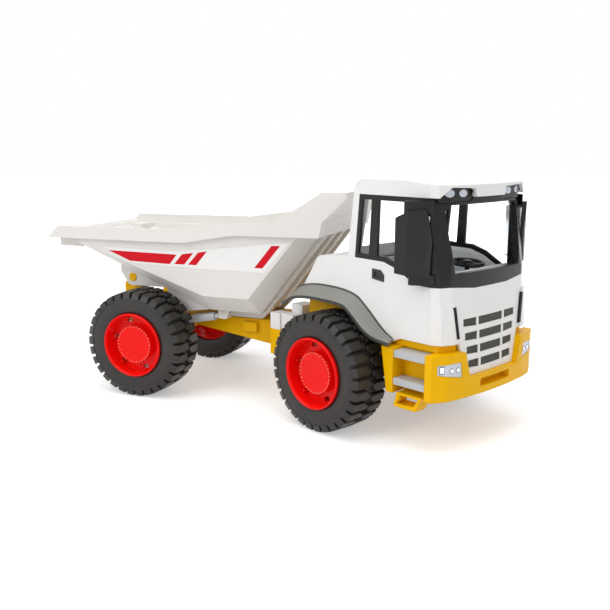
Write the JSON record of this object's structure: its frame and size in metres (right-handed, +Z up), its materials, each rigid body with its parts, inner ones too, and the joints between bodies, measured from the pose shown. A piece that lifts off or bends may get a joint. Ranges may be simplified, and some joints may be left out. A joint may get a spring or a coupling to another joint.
{
  "type": "toy articulated dump truck",
  "caption": "Plastic toy dump truck: a hollow cab with grille, fenders and mirrors on a front unit hinged to a rear unit with a tipping load bed, on free-rolling lugged wheels.",
  "frame": {"origin": "on the ground, straight below the pivot between the two units", "axes": "+X forward along the rear unit, +Y to its left, +Z up"},
  "size_m": [0.4559, 0.235, 0.208],
  "materials": {
    "bed_white": "satin warm white",
    "white_plastic": "satin white",
    "yellow_plastic": "satin yellow",
    "red_plastic": "satin red",
    "tyre": "matt black with a slight sheen",
    "black_plastic": "satin black",
    "grey_plastic": "satin grey",
    "dark_plastic": "satin dark grey",
    "light_grey_plastic": "satin light grey",
    "lamp_foil": "silvery foil",
    "mirror_foil": "foil",
    "steel": "plain"
  },
  "bodies": {
    "rear": {"rear_frame": "yellow_plastic", "rear_axle": "steel"},
    "bed": {"dump_bed": "bed_white"},
    "front": {"front_frame": "yellow_plastic", "pivot_cover": "white_plastic", "pivot_pin": "steel", "front_axle": "steel", "bumper": "yellow_plastic", "step_treads": "white_plastic", "headlamps": "lamp_foil", "cab_shell": "white_plastic", "front_panel": "white_plastic", "grille_backing": "black_plastic", "window_frame": "black_plastic", "cab_interior": "light_grey_plastic", "steering_wheel": "black_plastic", "roof_lamp_pods": "black_plastic", "roof_lamp_lenses": "lamp_foil", "door_handles": "dark_plastic", "fender_right": "grey_plastic", "fender_left": "grey_plastic", "mirror_right": "black_plastic", "mirror_left": "black_plastic", "mirror_glasses": "mirror_foil"},
    "ram_right": {"ram_barrel_right": "light_grey_plastic"},
    "ram_right_rod": {"ram_rod_right": "light_grey_plastic"},
    "ram_left": {"ram_barrel_left": "light_grey_plastic"},
    "ram_left_rod": {"ram_rod_left": "light_grey_plastic"},
    "wheel_rear_right": {"tyre_rear_right": "tyre", "rim_rear_right": "red_plastic", "hub_rear_right": "red_plastic"},
    "wheel_rear_left": {"tyre_rear_left": "tyre", "rim_rear_left": "red_plastic", "hub_rear_left": "red_plastic"},
    "wheel_front_right": {"tyre_front_right": "tyre", "rim_front_right": "red_plastic", "hub_front_right": "red_plastic"},
    "wheel_front_left": {"tyre_front_left": "tyre", "rim_front_left": "red_plastic", "hub_front_left": "red_plastic"}
  },
  "joints": [
    {"name": "bed_tip", "type": "hinge", "parent": "rear", "child": "bed", "pos_m": [-0.178, 0, 0.1057], "axis": [0, -1, 0], "range_deg": [0, 50]},
    {"name": "articulation", "type": "hinge", "parent": "rear", "child": "front", "pos_m": [0, 0, 0.0545], "axis": [0, 0, 1], "range_deg": [-5.3, 54.7]},
    {"name": "ram_swing_right", "type": "hinge", "parent": "rear", "child": "ram_right", "pos_m": [-0.157, -0.039, 0.06], "axis": [0, -1, 0], "range_deg": [0, 48]},
    {"name": "ram_slide_right", "type": "slide", "parent": "ram_right", "child": "ram_right_rod", "axis": [0.983, 0, 0.1835], "range_m": [0, 0.043]},
    {"name": "ram_swing_left", "type": "hinge", "parent": "rear", "child": "ram_left", "pos_m": [-0.157, 0.039, 0.06], "axis": [0, -1, 0], "range_deg": [0, 48]},
    {"name": "ram_slide_left", "type": "slide", "parent": "ram_left", "child": "ram_left_rod", "axis": [0.983, 0, 0.1835], "range_m": [0, 0.043]},
    {"name": "wheel_spin_rear_right", "type": "hinge", "parent": "rear", "child": "wheel_rear_right", "pos_m": [-0.152, -0.073, 0.05], "axis": [0, 1, 0], "continuous": true},
    {"name": "wheel_spin_rear_left", "type": "hinge", "parent": "rear", "child": "wheel_rear_left", "pos_m": [-0.152, 0.073, 0.05], "axis": [0, 1, 0], "continuous": true},
    {"name": "wheel_spin_front_right", "type": "hinge", "parent": "front", "child": "wheel_front_right", "pos_m": [0.04536, -0.10121, 0.05], "axis": [0.4179, 0.9085, 0], "continuous": true},
    {"name": "wheel_spin_front_left", "type": "hinge", "parent": "front", "child": "wheel_front_left", "pos_m": [0.10636, 0.03143, 0.05], "axis": [0.4179, 0.9085, 0], "continuous": true}
  ],
  "couplings": [
    {"joint": "ram_swing_right", "follows": "bed_tip", "ratio": 0.95},
    {"joint": "ram_slide_right", "follows": "bed_tip", "m_per_rad": 0.0487},
    {"joint": "ram_swing_left", "follows": "bed_tip", "ratio": 0.95},
    {"joint": "ram_slide_left", "follows": "bed_tip", "m_per_rad": 0.0487}
  ]
}
